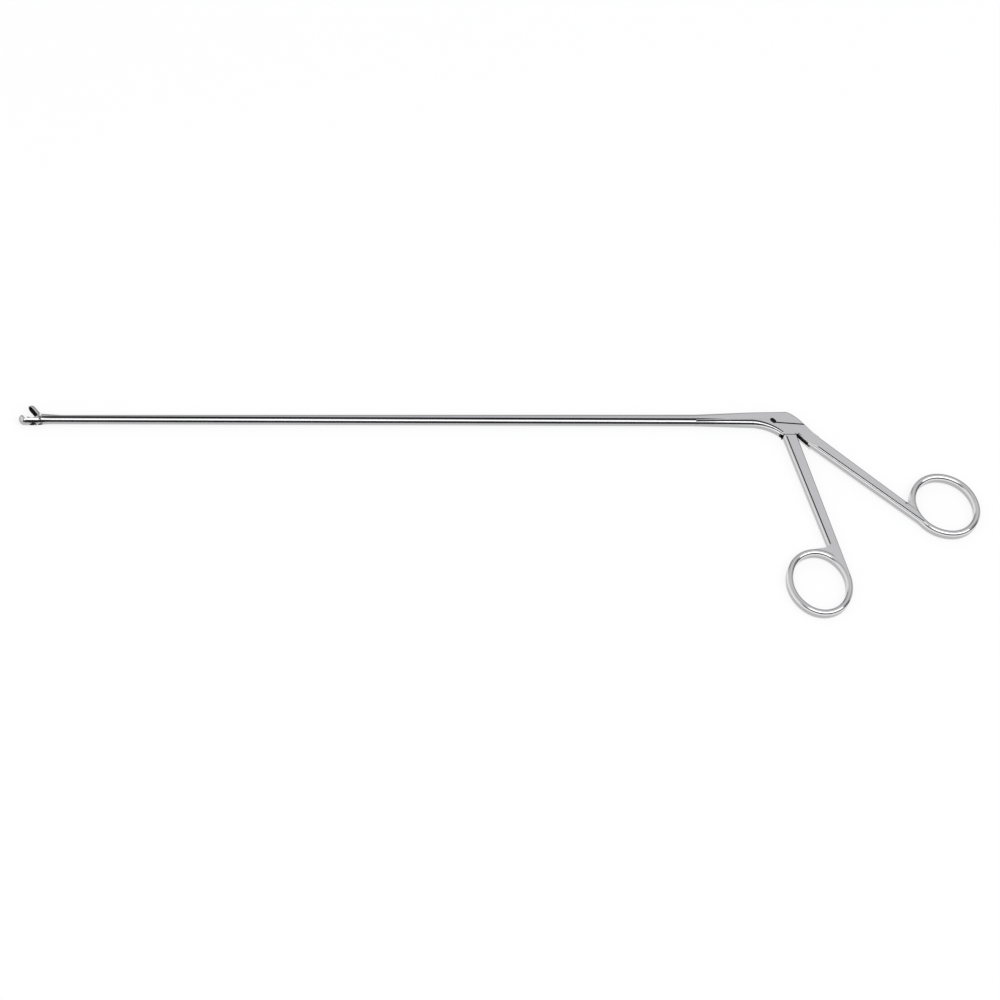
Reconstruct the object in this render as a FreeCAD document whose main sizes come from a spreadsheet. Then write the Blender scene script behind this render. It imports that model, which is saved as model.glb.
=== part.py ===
import FreeCAD, Part
import math
import os
import Sketcher
from FreeCAD import Placement, Rotation, Vector

# Biopsy forceps with a sliding shaft, two finger rings and a hinged upper jaw.
# Millimetres. The tool lies on its side on z = 0, jaws towards -X, rings towards +X and -Y.
# The origin is where the axis of the handle pivot meets the surface that the tool lies on.

doc = FreeCAD.newDocument("biopsy_forceps")
sheet = doc.addObject("Spreadsheet::Sheet", "sizes")


class Size:
    """A number that keeps the sheet expression it comes from, so that both stay the same."""

    def __init__(self, value, text):
        self.value = value
        self.text = text

    @staticmethod
    def of(other):
        return other if isinstance(other, Size) else Size(float(other), repr(float(other)))

    def join(self, other, sign, value):
        return Size(value, "(" + self.text + sign + other.text + ")")

    def __add__(self, other):
        other = Size.of(other)
        return self.join(other, " + ", self.value + other.value)

    def __sub__(self, other):
        other = Size.of(other)
        return self.join(other, " - ", self.value - other.value)

    def __mul__(self, other):
        other = Size.of(other)
        return self.join(other, " * ", self.value * other.value)

    def __truediv__(self, other):
        other = Size.of(other)
        return self.join(other, " / ", self.value / other.value)

    def __radd__(self, other):
        return Size.of(other) + self

    def __rsub__(self, other):
        return Size.of(other) - self

    def __rmul__(self, other):
        return Size.of(other) * self

    def __neg__(self):
        return Size.of(-1) * self


def sine(angle):
    angle = Size.of(angle)
    return Size(math.sin(math.radians(angle.value)), "sin(" + angle.text + ")")


def cosine(angle):
    angle = Size.of(angle)
    return Size(math.cos(math.radians(angle.value)), "cos(" + angle.text + ")")


def tangent(angle):
    angle = Size.of(angle)
    return Size(math.tan(math.radians(angle.value)), "tan(" + angle.text + ")")


def root(number):
    return Size(math.sqrt(number.value), "sqrt(" + number.text + ")")


next_row = [1]


def size(alias, value, meaning):
    """Write one driving dimension into the sheet and hand it back."""
    row = str(next_row[0])
    sheet.set("A" + row, meaning)
    sheet.set("B" + row, str(value))
    sheet.setAlias("B" + row, alias)
    next_row[0] += 1
    return Size(float(value), "sizes." + alias)


# Thicknesses and the gaps that everything else is fitted with
body_thick = size("body_thick", 5.3, "thickness of head, handles and rings")
slot_wide = size("slot_wide", 3.1, "slot between the cheeks for the tongue")
side_gap = size("side_gap", 0.05, "side clearance of the tongue and jaw heel in their slots")
pin_gap = size("pin_gap", 0.04, "radial running clearance of a pin in its hole")
slide_gap = size("slide_gap", 0.04, "gap under the sliding shaft")
fit_gap = size("fit_gap", 0.01, "radial gap of a pin, stud or spigot that is fixed in its hole")
mid = body_thick / 2

# Shaft
shaft_round = size("shaft_round", 2.15, "radius of the closed round shaft")
shaft_rise = size("shaft_rise", 4.45, "height of the shaft's axis above the handle pivot")
split_rise = size("split_rise", 4.42, "height of the sliding face above the handle pivot")
shaft_reach = size("shaft_reach", 345.9, "handle pivot to jaw pivot along the shaft")
seam_back = size("seam_back", 44.0, "handle pivot to the brazed seam of the shaft")
spigot_round = size("spigot_round", 0.7, "radius of the brazed spigot")
spigot_long = size("spigot_long", 14.0, "length of the brazed spigot")

# Fixed cup jaw
cup_round = size("cup_round", 2.65, "outer radius of the fixed cup")
cup_wall = size("cup_wall", 0.5, "wall of the fixed cup")
cup_reach = size("cup_reach", 8.9, "jaw pivot to the tip of the fixed cup")
cup_heel = size("cup_heel", 1.9, "jaw pivot to the end of the cup's hollow")
lip_rise = size("lip_rise", 1.5, "height of the tip's lip above the sliding face")
notch_deep = size("notch_deep", 1.5, "depth of the notch behind the lip")
notch_reach = size("notch_reach", 6.2, "jaw pivot to the bottom of the notch")
tooth_rise = size("tooth_rise", 0.15, "height of the rim's tooth above the sliding face")
tooth_long = size("tooth_long", 0.7, "length of that tooth's top")
dip_reach = size("dip_reach", 2.4, "jaw pivot to the rear end of the hollow behind the tooth")
dip_bow = size("dip_bow", 1.8, "radius of that hollow")
cup_end = size("cup_end", 0.7, "jaw pivot to the rear end of the thicker cup")
cup_fade = size("cup_fade", 4.5, "jaw pivot to where the cup's swelling has faded out")
window_wide = size("window_wide", 2.3, "width of the window under the cup")
window_long = size("window_long", 3.2, "length of the window under the cup")
window_reach = size("window_reach", 2.75, "jaw pivot to the middle of the window")
drain_wide = size("drain_wide", 1.6, "width of the small window under the jaw's heel")
drain_long = size("drain_long", 2.0, "length of that small window")
drain_back = size("drain_back", 0.65, "jaw pivot back to the middle of that small window")

# Moving cup jaw
jaw_swing = size("jaw_swing", 55.0, "angle through which the upper jaw opens")
jaw_drop = size("jaw_drop", 0.95, "jaw pivot below the sliding face")
jaw_pin_round = size("jaw_pin_round", 0.5, "radius of the jaw pivot pin")
drive_pin_round = size("drive_pin_round", 0.4, "radius of the jaw drive pin")
drive_lobe = size("drive_lobe", 0.85, "radius of the heel round the drive pin")
fork_room = size("fork_room", 0.3, "gap behind the jaw's heel in the slide")
jaw_pin_half = size("jaw_pin_half", 1.75, "half length of the jaw pivot pin")
drive_pin_half = size("drive_pin_half", 1.85, "half length of the jaw drive pin")
heel_thick = size("heel_thick", 1.8, "thickness of the jaw's heel")
heel_round = size("heel_round", 1.0, "radius of the heel about its pivot")
heel_slope = size("heel_slope", 122.0, "direction from the jaw pivot to the foot of the cup's arm")
bite_round = size("bite_round", 2.1, "outer radius of the moving cup")
bite_wall = size("bite_wall", 0.45, "wall of the moving cup")
bite_gap = size("bite_gap", 0.25, "gap between the closed tips")
bite_rim = size("bite_rim", 1.15, "rim of the closed moving cup above the jaw pivot")
bite_heel = size("bite_heel", 2.4, "jaw pivot to the back of the moving cup")
bite_window = size("bite_window", 1.1, "width of the window in the moving cup")

# Stroke shared by the handle, the slide and the jaw
stroke = size("stroke", 1.8, "travel of the sliding shaft")
handle_swing = size("handle_swing", 20.0, "angle through which the front handle closes")
stop_slack = size("stop_slack", 2.0, "angle left between handle and cheek when closed")

# Sliding shaft
nose_reach = size("nose_reach", 0.13, "nose of the slide ahead of the jaw pivot")
nose_high = size("nose_high", 1.4, "height of the nose above the sliding face")
hump_start = size("hump_start", 1.4, "jaw pivot to the front of the hump")
hump_long = size("hump_long", 9.6, "length of the hump behind the jaws")
hump_high = size("hump_high", 2.55, "height of the hump above the sliding face")
nose_half = size("nose_half", 2.0, "half width of the nose")
nose_edge = size("nose_edge", 0.6, "rounding of the nose")
hump_half = size("hump_half", 2.05, "half width of the hump")
slide_edge = size("slide_edge", 1.75, "radius along the top edges of the slide")
slide_high_front = size("slide_high_front", 1.85, "height of the slide at the jaws")
slide_high_seam = size("slide_high_seam", 3.1, "height of the slide at the seam")
slide_high_tail = size("slide_high_tail", 4.0, "height of the slide at its tail")
tail_crest = size("tail_crest", 2.0, "handle pivot to the crest of the tail")
crest_round = size("crest_round", 3.0, "rounding of the tail's crest")
tail_end = size("tail_end", 5.6, "end of the tail past the handle pivot")
tail_bow = size("tail_bow", 20.0, "radius of the tail's rounded end")
tail_edge = size("tail_edge", 0.8, "rounding of the tail's edges")
slit_start = size("slit_start", 7.3, "handle pivot to the start of the slit")
slit_rise = size("slit_rise", 2.95, "height of the slit at its start")
slit_slope = size("slit_slope", 4.2, "slope of the slit in degrees")
slit_gap = size("slit_gap", 0.3, "gap of the slit under the tail")
eye_round = size("eye_round", 1.0, "radius of the ends of the slanted window")
eye_long = size("eye_long", 1.1, "distance between the two ends of the slanted window")
eye_lean = size("eye_lean", 42.0, "slope of the slanted window in degrees")
eye_start = size("eye_start", 9.2, "handle pivot to the upper end of the slanted window")
eye_rise = size("eye_rise", 4.1, "height of the upper end of the slanted window")

# Head and handle linkage
head_start = size("head_start", 18.5, "handle pivot to where the flat sides and the bend start")
root_rise = size("root_rise", 1.85, "height of the underside where the bend starts")
root_edge = size("root_edge", 1.9, "rounding of the underside where the bend starts")
head_edge = size("head_edge", 1.0, "rounding of the underside at the front handle")
head_front = size("head_front", 4.8, "handle pivot to the front end of the head")
shoulder_drop = size("shoulder_drop", 3.2, "shoulder of the front handle below its pivot")
shoulder_gap = size("shoulder_gap", 0.1, "gap between the shoulder and the head")
relief_angle = size("relief_angle", 68.0, "slope of the front handle's stop face")
cheek_reach = size("cheek_reach", 10.6, "handle pivot to the end of the slot in the underside")
slot_front = size("slot_front", 6.2, "handle pivot to the front end of the slot underneath")
slot_room = size("slot_room", 0.3, "gap round the tongue in the slot")
tail_room = size("tail_room", 0.15, "gap round the tongue's tip in the slide's tail")
block_overlap = size("block_overlap", 3.6, "how far the head block runs into the rear shank")
slot_deep = size("slot_deep", 1.4, "depth of the slot behind the cheeks' stop face")
pivot_round = size("pivot_round", 1.1, "radius of the handle pivot pin")
tongue_round = size("tongue_round", 2.3, "radius of the tongue about its pivot")
slide_pin_round = size("slide_pin_round", 0.55, "radius of the drive pin in the slide's tail")
tongue_tip = size("tongue_tip", 1.05, "radius of the tongue's top end")
neck_share = size("neck_share", 0.75, "width of the tongue's neck at the pivot, as a share")

# Shanks and rings
shank_edge = size("shank_edge", 0.65, "rounding of the shanks' long edges")
front_slope = size("front_slope", 76.15, "slope of the front shank below the shaft")
front_offset = size("front_offset", 2.35, "front shank's centre line ahead of the pivot")
front_top_wide = size("front_top_wide", 5.5, "width of the front shank at the head")
front_end_wide = size("front_end_wide", 4.2, "width of the front shank at its ring")
rear_slope = size("rear_slope", 40.8, "slope of the rear shank below the shaft")
rear_start_x = size("rear_start_x", 7.0, "start of the rear shank past the pivot")
rear_start_drop = size("rear_start_drop", 3.95, "start of the rear shank below the pivot")
rear_top_wide = size("rear_top_wide", 5.1, "width of the rear shank at the head")
rear_end_wide = size("rear_end_wide", 3.45, "width of the rear shank at its ring")
ring_long = size("ring_long", 15.25, "half length of a ring's centre line")
ring_wide = size("ring_wide", 13.5, "half width of a ring's centre line")
ring_thick = size("ring_thick", 2.9, "thickness of a ring seen from its side")
ring_deep = size("ring_deep", 5.2, "depth of a ring along Z")
front_notch = size("front_notch", 59.2, "pivot line to the crotch between front shank and ring")
rear_notch = size("rear_notch", 52.3, "start of the rear shank to the crotch at its ring")
notch_round = size("notch_round", 2.5, "rounding of the crotch")
front_web_rise = size("front_web_rise", 2.3, "front shank's edge to the end of its web's front curve")
front_web_run = size("front_web_run", 1.15, "front crotch to the end of that curve along the shank")
rear_web_rise = size("rear_web_rise", 3.8, "rear shank's edge to the end of its web's front curve")
rear_web_run = size("rear_web_run", -0.5, "rear crotch to the end of that curve along the shank")
web_lean = size("web_lean", 0.67, "how far the web's front leans back from the crotch")
web_high = size("web_high", 8.5, "shank's edge to the end of the web in the ring")
web_long = size("web_long", 9.2, "length of the web along the shank")
web_thin = size("web_thin", 0.45, "web in the crotch thinner than the shank on each side")
ring_flat = size("ring_flat", 1.1, "half width of a ring's centre line less the radius of its ends")
ring_bevel = size("ring_bevel", 0.79, "first bevel along a ring's edges, at 45 degrees")
ring_trim = size("ring_trim", 0.29, "second bevel, on both edges of the first")
ring_seat = size("ring_seat", 0.3, "how far the shank reaches over the ring's centre line")
ring_sink = size("ring_sink", 0.9, "how far a ring's centre line passes its shank's axis")
front_ring_along = size("front_ring_along", 76.0, "pivot line to the front ring along its shank")
rear_ring_along = size("rear_ring_along", 66.5, "start of the rear shank to its ring's centre")

# Guides that hold the slide down on the shaft
stud_round = size("stud_round", 0.5, "radius of a guide stud's stem")
stud_head = size("stud_head", 1.0, "radius of a guide stud's head")
stud_neck = size("stud_neck", 0.6, "depth of the narrow part of a guide slot")
stud_head_high = size("stud_head_high", 0.5, "height of a guide stud's head")
stud_seat = size("stud_seat", 1.1, "depth of the stem in the slide")
front_stud_back = size("front_stud_back", 6.8, "jaw pivot to the front guide stud")
rear_stud_back = size("rear_stud_back", 50.0, "handle pivot to the rear guide stud")

doc.recompute()

# Sizes that follow from the ones above
jaw_x = -shaft_reach
jaw_y = split_rise - jaw_drop
jaw_arm = stroke / 2 / tangent(jaw_swing / 2)
tongue_arm = stroke / 2 / tangent(handle_swing / 2)
cheek_angle = relief_angle - handle_swing - stop_slack
tongue_thick = slot_wide - 2 * side_gap
jaw_slot = heel_thick + 2 * side_gap
slide_floor = split_rise + slide_gap
tail_start = head_start
ring_nose = ring_wide - ring_flat
spigot_rise = (split_rise + shaft_rise - shaft_round) / 2

# A cut starts this far outside what it cuts, and the two shares keep outlines clear of a corner:
# nearly for a radius that must stay under a half width, hair for an arc that spans a half circle
over = 0.5
nearly = 0.97
hair = 1.0001
bend_steps = 5


def plane_of(body, role):
    """The origin plane of a body that has the given role."""
    return [feature for feature in body.Origin.OriginFeatures if feature.Role == role][0]


def new_sketch(body, name, role, offset=0):
    """A sketch on one of the body's own planes, moved along the plane's normal."""
    sketch = body.newObject("Sketcher::SketchObject", name)
    sketch.AttachmentSupport = [(plane_of(body, role), "")]
    sketch.MapMode = "FlatFace"
    sketch.setExpression("AttachmentOffset.Base.z", Size.of(offset).text)
    return sketch


def pin_point(sketch, edge, end, point):
    """Hold one end of an edge at a pair of sizes."""
    for kind, distance in (("DistanceX", point[0]), ("DistanceY", point[1])):
        distance = Size.of(distance)
        held = sketch.addConstraint(Sketcher.Constraint(kind, -1, 1, edge, end, distance.value))
        sketch.setExpression("Constraints[%d]" % held, distance.text)


def draw_outline(sketch, points, bows=None):
    """A closed outline; bows maps the number of a side to (radius, +1 left or -1 right bulge)."""
    bows = bows or {}
    count = len(points)
    first = sketch.GeometryCount
    for index in range(count):
        start = Vector(*[Size.of(value).value for value in points[index]], 0)
        end = Vector(*[Size.of(value).value for value in points[(index + 1) % count]], 0)
        if index not in bows:
            sketch.addGeometry(Part.LineSegment(start, end), False)
            continue
        radius, side = bows[index]
        radius = Size.of(radius)
        chord = end - start
        left = Vector(-chord.y, chord.x, 0).normalize()
        rise = radius.value - math.sqrt(max(radius.value ** 2 - (chord.Length / 2) ** 2, 0))
        middle = (start + end) / 2 + left * (side * rise)
        sketch.addGeometry(Part.Arc(start, middle, end), False)
    for index in range(count):
        if index not in bows:
            pin_point(sketch, first + index, 1, points[index])
            pin_point(sketch, first + index, 2, points[(index + 1) % count])
            continue
        # an arc runs anticlockwise, so it starts at the outline's next point if it bulges right
        ends = (1, 2) if bows[index][1] < 0 else (2, 1)
        pin_point(sketch, first + index, ends[0], points[index])
        pin_point(sketch, first + index, ends[1], points[(index + 1) % count])
        radius = Size.of(bows[index][0])
        held = sketch.addConstraint(Sketcher.Constraint("Radius", first + index, radius.value))
        sketch.setExpression("Constraints[%d]" % held, radius.text)
    return sketch


def draw_circle(sketch, centre, radius):
    """A circle whose centre and radius are sizes."""
    radius = Size.of(radius)
    middle = Vector(Size.of(centre[0]).value, Size.of(centre[1]).value, 0)
    edge = sketch.addGeometry(Part.Circle(middle, Vector(0, 0, 1), radius.value), False)
    pin_point(sketch, edge, 3, centre)
    held = sketch.addConstraint(Sketcher.Constraint("Radius", edge, radius.value))
    sketch.setExpression("Constraints[%d]" % held, radius.text)
    return sketch


def draw_long_hole(sketch, start, end, radius):
    """A slot outline with round ends, between two centres that are sizes."""
    run = (end[0] - start[0], end[1] - start[1])
    length = root(run[0] * run[0] + run[1] * run[1])
    side = (-run[1] / length * radius, run[0] / length * radius)
    corners = [(start[0] - side[0], start[1] - side[1]), (end[0] - side[0], end[1] - side[1]),
               (end[0] + side[0], end[1] + side[1]), (start[0] + side[0], start[1] + side[1])]
    cap = radius * hair
    return draw_outline(sketch, corners, {1: (cap, -1), 3: (cap, -1)})


def grow(body, kind, name, sketch, length, away=False):
    """A pad or a pocket of one sketch, along the sketch's normal or away from it."""
    feature = body.newObject(kind, name)
    feature.Profile = sketch
    feature.setExpression("Length", Size.of(length).text)
    feature.Reversed = away
    body.Tip = feature
    return feature


def cut_up(body, name, sketch, depth):
    """A pocket that runs from the sketch along its plane's normal."""
    return grow(body, "PartDesign::Pocket", name, sketch, depth, True)


def bore(body, name, x, y, radius):
    """A round hole along Z through the whole thickness."""
    sketch = new_sketch(body, name + "_outline", "XY_Plane", -over)
    draw_circle(sketch, (x, y), radius)
    return cut_up(body, name, sketch, body_thick + 2 * over)


def turn(body, kind, name, sketch):
    """A full turn of a profile about its own first edge."""
    feature = body.newObject(kind, name)
    feature.Profile = sketch
    feature.ReferenceAxis = (sketch, ["Edge1"])
    feature.Angle = 360
    body.Tip = feature
    return feature


def new_body(name):
    return doc.addObject("PartDesign::Body", name)


def along(x, y, slope, distance, side=0):
    """A point at a distance down a line that slopes below +X, and a step to its upper side."""
    return (x + distance * cosine(slope) + side * sine(slope),
            y - distance * sine(slope) + side * cosine(slope))


def round_section(body, name, x, half, top, bottom, edge):
    """Cross section of the head at one place: flat top and sides, rounded underneath."""
    sketch = new_sketch(body, name, "YZ_Plane", x)
    low = bottom + edge
    points = [(top, mid - half), (top, mid + half), (low, mid + half), (bottom, mid + half - edge),
              (bottom, mid - half + edge), (low, mid - half)]
    return draw_outline(sketch, points, {2: (edge, -1), 4: (edge, -1)})


def slide_section(body, name, x, half, top, edge):
    """Cross section of the slide at one place: flat bottom and sides, rounded on top."""
    sketch = new_sketch(body, name, "YZ_Plane", x)
    high = top - edge
    points = [(slide_floor, mid - half), (slide_floor, mid + half), (high, mid + half),
              (top, mid + half - edge), (top, mid - half + edge), (high, mid - half)]
    return draw_outline(sketch, points, {2: (edge, 1), 4: (edge, 1)})


def loft(body, name, sections, straight):
    """A solid through a row of section sketches."""
    feature = body.newObject("PartDesign::AdditiveLoft", name)
    feature.Profile = sections[0]
    feature.Sections = sections[1:]
    feature.Ruled = straight
    body.Tip = feature
    return feature


def dress(body, kind, name, wanted, measure, amount):
    """A fillet or bevel on the edges of the body's last feature for which wanted(edge) is true."""
    doc.recompute()
    source = body.Tip
    names = ["Edge%d" % number for number, edge in enumerate(source.Shape.Edges, 1) if wanted(edge)]
    feature = body.newObject(kind, name)
    feature.Base = (source, names)
    feature.setExpression(measure, Size.of(amount).text)
    body.Tip = feature
    return feature


def round_edges(body, name, radius, wanted):
    return dress(body, "PartDesign::Fillet", name, wanted, "Radius", radius)


def bevel_edges(body, name, width, wanted):
    return dress(body, "PartDesign::Chamfer", name, wanted, "Size", width)


def lies_flat(edge):
    """True for an edge that keeps one height along Z."""
    heights = [edge.valueAt(edge.FirstParameter + step * (edge.LastParameter - edge.FirstParameter) / 4).z
               for step in range(5)]
    return max(heights) - min(heights) < 1e-6


def add_shank(body, name, x, y, slope, start, length, wide_start, wide_end):
    """A tapered bar with rounded long edges, set out along a sloping centre line."""
    outline = new_sketch(body, name + "_outline", "XY_Plane", 0)
    draw_outline(outline, [along(x, y, slope, start, -wide_start / 2),
                           along(x, y, slope, length, -wide_end / 2),
                           along(x, y, slope, length, wide_end / 2),
                           along(x, y, slope, start, wide_start / 2)])
    grow(body, "PartDesign::Pad", name, outline, body_thick)
    shortest = (length - start).value * 0.9
    round_edges(body, name + "_edges", shank_edge,
                lambda edge: lies_flat(edge) and edge.Length > shortest)


def add_web(body, name, x, y, slope, notch, wide, side, run, rise):
    """The web in the crotch between shank and ring, with a rounded notch on the shank's edge."""
    edge = side * wide / 2
    lift = side * rise
    web = new_sketch(body, name + "_outline", "XY_Plane", web_thin)
    far = edge + side * web_high
    points = [along(x, y, slope, notch + run, edge + lift), along(x, y, slope, notch, edge),
              along(x, y, slope, notch, 0), along(x, y, slope, notch + web_long, 0),
              along(x, y, slope, notch + web_long, far), along(x, y, slope, notch + web_lean, far)]
    if side < 0:
        points.reverse()
    hollow = 0 if side > 0 else 4
    draw_outline(web, points, {hollow: (notch_round, 1)})
    grow(body, "PartDesign::Pad", name, web, body_thick - 2 * web_thin)


def draw_oval(sketch, x, y, slope, wider):
    """An oval of four touching arcs, a step wider than a ring's centre line."""
    flat = ring_wide - ring_nose
    shift = ((ring_long - ring_nose) * (ring_long - ring_nose) - flat * flat) / (2 * flat)
    side_round = ring_wide + shift + wider
    span = ring_wide + shift - ring_nose
    touch_along = (ring_long - ring_nose) / span * side_round
    touch_side = shift / span * side_round - shift
    corners = [along(x, y, slope, touch_along, -touch_side), along(x, y, slope, touch_along, touch_side),
               along(x, y, slope, -touch_along, touch_side), along(x, y, slope, -touch_along, -touch_side)]
    end_round = ring_nose + wider
    return draw_outline(sketch, corners, {0: (end_round, -1), 1: (side_round, -1),
                                          2: (end_round, -1), 3: (side_round, -1)})


def add_ring(name, x, y, slope):
    """A finger ring: a section with many bevels round an oval, long axis along its shank."""
    body = new_body(name)
    low = (body_thick - ring_deep) / 2
    outer = draw_oval(new_sketch(body, name + "_outer", "XY_Plane", low), x, y, slope, ring_thick / 2)
    grow(body, "PartDesign::Pad", name + "_plate", outer, ring_deep)
    inner = draw_oval(new_sketch(body, name + "_inner", "XY_Plane", -over), x, y, slope, -ring_thick / 2)
    cut_up(body, name + "_hole", inner, body_thick + 2 * over)
    bevel_edges(body, name + "_bevel", ring_bevel, lies_flat)
    bevel_edges(body, name + "_trim", ring_trim, lies_flat)
    return body


def pin_node(name, x, y, radius, start, length):
    """A plain round pin along Z."""
    pin = doc.addObject("Part::Cylinder", name)
    pin.setExpression("Radius", radius.text)
    pin.setExpression("Height", length.text)
    pin.setExpression("Placement.Base.x", x.text)
    pin.setExpression("Placement.Base.y", y.text)
    pin.setExpression("Placement.Base.z", Size.of(start).text)
    return pin


def join(name, pieces):
    whole = doc.addObject("Part::MultiFuse", name)
    whole.Shapes = pieces
    whole.Refine = True
    return whole


def guide_slot(body, name, x):
    """The undercut slot in which a guide stud runs, long enough for the whole stroke."""
    ahead = x - stroke
    neck = new_sketch(body, name + "_neck", "XZ_Plane", -split_rise - over)
    draw_long_hole(neck, (ahead, mid), (x, mid), stud_round + pin_gap)
    cut_up(body, name + "_neck_cut", neck, stud_neck + over)
    wide = new_sketch(body, name + "_wide", "XZ_Plane", stud_neck - split_rise)
    draw_long_hole(wide, (ahead, mid), (x, mid), stud_head + pin_gap)
    cut_up(body, name + "_wide_cut", wide, stud_head_high + 2 * pin_gap)


def lower_shaft():
    """The fixed half of the shaft, with the fixed cup jaw at its end."""
    body = new_body("lower_shaft")
    ball = jaw_x - cup_reach + cup_round
    cup_back = jaw_x - cup_end
    # capsule that the cup is cut from: half an outline turned about the shaft's axis
    profile = new_sketch(body, "cup_profile", "XY_Plane", mid)
    fade = jaw_x + cup_fade
    draw_outline(profile, [(ball - cup_round, shaft_rise), (fade, shaft_rise),
                           (fade, shaft_rise + shaft_round), (cup_back, shaft_rise + cup_round),
                           (ball, shaft_rise + cup_round)],
                 {4: (cup_round, -1)})
    turn(body, "PartDesign::Revolution", "cup", profile)
    hollow = new_sketch(body, "hollow_profile", "XY_Plane", mid)
    inner = cup_round - cup_wall
    draw_outline(hollow, [(ball - inner, shaft_rise), (jaw_x - cup_heel, shaft_rise),
                          (jaw_x - cup_heel, shaft_rise + inner), (ball, shaft_rise + inner)],
                 {3: (inner, -1)})
    turn(body, "PartDesign::Groove", "cup_hollow", hollow)
    # everything above the rim goes: lip, notch behind it, tooth and a shallow dip to the heel
    above = shaft_rise + cup_round + over
    tip = jaw_x - cup_reach
    tooth = jaw_x - notch_reach + notch_deep / 3
    tooth_top = split_rise + tooth_rise
    rim = new_sketch(body, "rim_profile", "XY_Plane", -over)
    draw_outline(rim, [(tip - over, above), (tip - over, split_rise + lip_rise),
                       (tip + 2 * cup_wall, split_rise + lip_rise),
                       (jaw_x - notch_reach, split_rise - notch_deep),
                       (tooth, tooth_top), (tooth + tooth_long, tooth_top),
                       (jaw_x - dip_reach, split_rise), (fade + over, split_rise),
                       (fade + over, above)],
                 {5: (dip_bow, -1)})
    cut_up(body, "rim_cut", rim, body_thick + 2 * over)
    # the D shaped bar and the spigot at its rear end
    bar = new_sketch(body, "bar_section", "YZ_Plane", jaw_x - cup_heel)
    chord = root(shaft_round * shaft_round - (split_rise - shaft_rise) * (split_rise - shaft_rise))
    draw_outline(bar, [(split_rise, mid - chord), (split_rise, mid + chord),
                       (shaft_rise - shaft_round, mid)],
                 {1: (shaft_round, -1), 2: (shaft_round, -1)})
    grow(body, "PartDesign::Pad", "bar", bar, shaft_reach + cup_heel - seam_back)
    spigot = new_sketch(body, "spigot_section", "YZ_Plane", -seam_back - over)
    draw_circle(spigot, (spigot_rise, mid), spigot_round)
    grow(body, "PartDesign::Pad", "spigot", spigot, spigot_long + over)
    for label, x, wide, length in (("window", jaw_x - window_reach, window_wide, window_long),
                                   ("drain", jaw_x + drain_back, drain_wide, drain_long)):
        window = new_sketch(body, label + "_outline", "XZ_Plane", -shaft_rise)
        reach = (length - wide) / 2
        draw_long_hole(window, (x - reach, mid), (x + reach, mid), wide / 2)
        cut_up(body, label, window, cup_round + over)
    # fork slot for the jaw's heel, open to the top
    fork = new_sketch(body, "fork_outline", "XY_Plane", mid - jaw_slot / 2)
    fork_floor = jaw_y - heel_round - side_gap
    fork_end = jaw_x + stroke / 2 + drive_lobe + 2 * side_gap
    draw_outline(fork, [(jaw_x - cup_heel - over, fork_floor), (fork_end, fork_floor),
                        (fork_end, above), (jaw_x - cup_heel - over, above)])
    cut_up(body, "fork_slot", fork, jaw_slot)
    bore(body, "jaw_bore", jaw_x, jaw_y, jaw_pin_round + fit_gap)
    guide_slot(body, "front_guide", jaw_x + front_stud_back)
    guide_slot(body, "rear_guide", -rear_stud_back)
    return body


def slit_line(x, drop=0):
    """A point of the slit's upper face, or of its lower face with the slit's gap as drop."""
    return (Size.of(x), slit_rise - drop - (x + slit_start) * tangent(slit_slope))


def eye_ends():
    """Centres of the two round ends of the slanted window between slide and head."""
    return (-eye_start, eye_rise), along(-eye_start, eye_rise, eye_lean, eye_long)


def cut_eye(body):
    """The slanted window that gives the slide's shoulder room to move forward."""
    eye = new_sketch(body, body.Name + "_eye_outline", "XY_Plane", -over)
    upper, lower = eye_ends()
    draw_long_hole(eye, upper, lower, eye_round)
    cut_up(body, body.Name + "_eye", eye, body_thick + 2 * over)


def cheek_point(distance, side=0):
    """A point along the cheeks' stop face, which points at the handle pivot."""
    return along(0, 0, cheek_angle, distance, side)


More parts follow.
